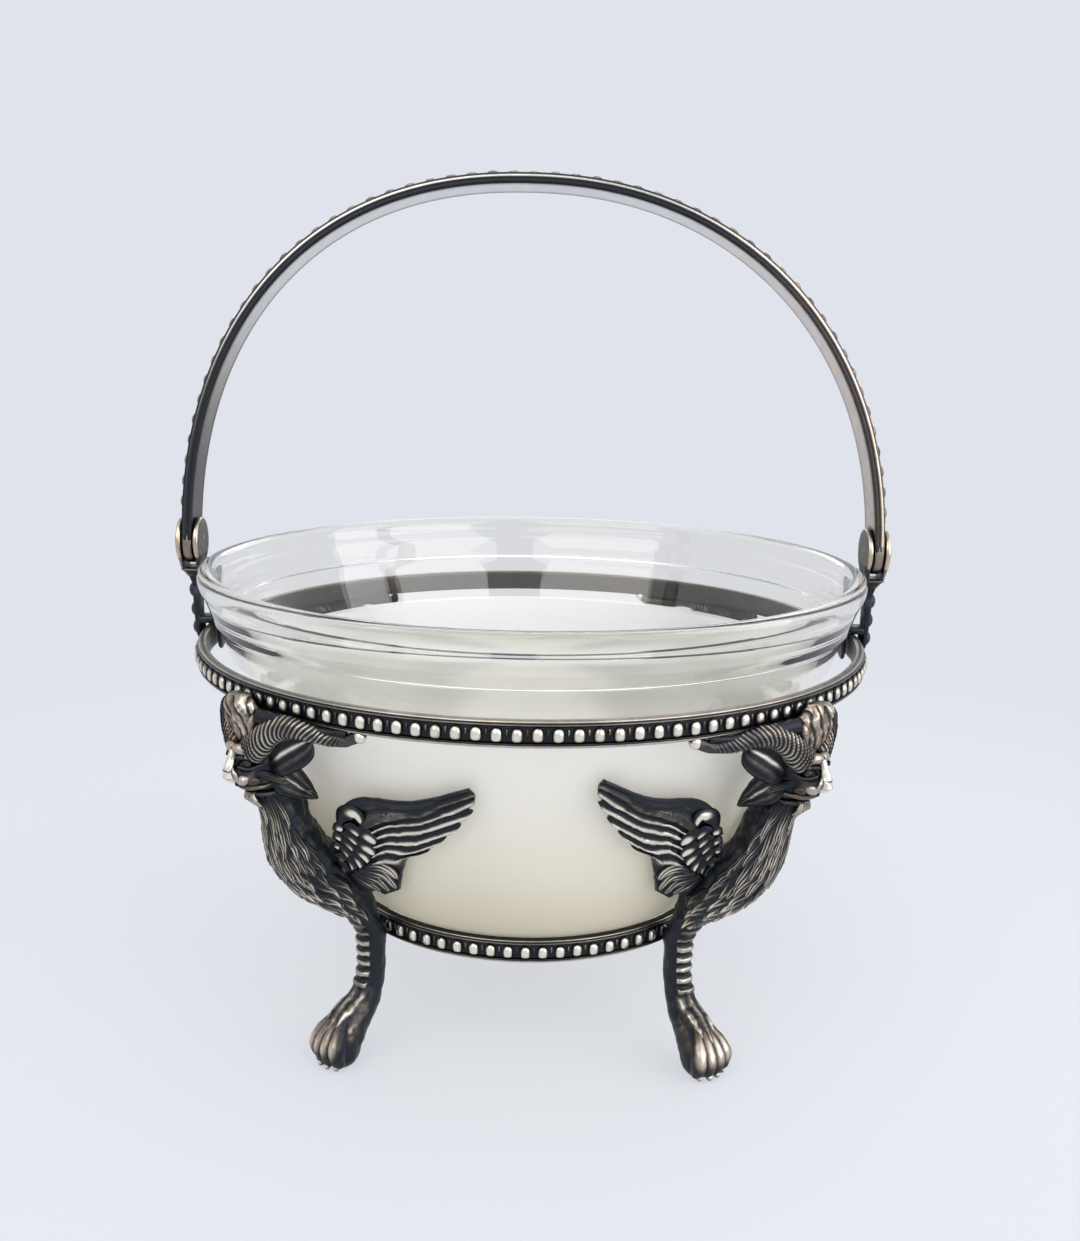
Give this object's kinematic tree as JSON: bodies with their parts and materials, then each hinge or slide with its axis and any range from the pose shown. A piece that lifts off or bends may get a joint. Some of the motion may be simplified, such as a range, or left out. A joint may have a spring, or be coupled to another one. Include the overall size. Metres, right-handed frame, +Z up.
{
  "type": "footed glass bowl",
  "caption": "Round glass bowl lifted out of a silver frame with two beaded rings, four winged griffin legs and an arched, beaded swing handle.",
  "frame": {"origin": "on the floor, on the axis of the bowl", "axes": "+Z up along the bowl's axis; the handle's pivots lie along X; the handle leans towards +Y at rest"},
  "size_m": [0.1522, 0.1418, 0.178],
  "materials": {
    "glass": "clear collar, satin body",
    "ring_silver": "darkened antique silver",
    "bead_silver": "polished drops in a dark groove",
    "cast_silver": "oxidised casting, bright on the raised parts",
    "bracket_silver": "darkened antique silver",
    "handle_silver": "smooth silver, worn bright, brown tarnish in the corners"
  },
  "bodies": {
    "frame": {"upper_ring": "ring_silver", "upper_ring_beading": "bead_silver", "lower_ring": "ring_silver", "lower_ring_beading": "bead_silver", "griffin_front_left": "cast_silver", "griffin_front_right": "cast_silver", "griffin_back_left": "cast_silver", "griffin_back_right": "cast_silver", "wing_front_left_ccw": "cast_silver", "wing_front_left_cw": "cast_silver", "wing_front_right_ccw": "cast_silver", "wing_front_right_cw": "cast_silver", "wing_back_left_ccw": "cast_silver", "wing_back_left_cw": "cast_silver", "wing_back_right_ccw": "cast_silver", "wing_back_right_cw": "cast_silver", "bracket_left": "bracket_silver", "bracket_right": "bracket_silver", "pivot_pin_left": "bracket_silver", "pivot_pin_right": "bracket_silver"},
    "handle": {"handle_strap": "handle_silver", "handle_beading": "bead_silver"},
    "bowl": {"glass_bowl": "glass"}
  },
  "joints": [
    {"name": "handle_swing", "type": "hinge", "parent": "frame", "child": "handle", "pos_m": [0, 0, 0.1004], "axis": [1, 0, 0], "range_deg": [-94, 108]},
    {"name": "bowl_lift", "type": "slide", "parent": "frame", "child": "bowl", "axis": [0, 0, 1], "range_m": [0, 0.018]}
  ]
}
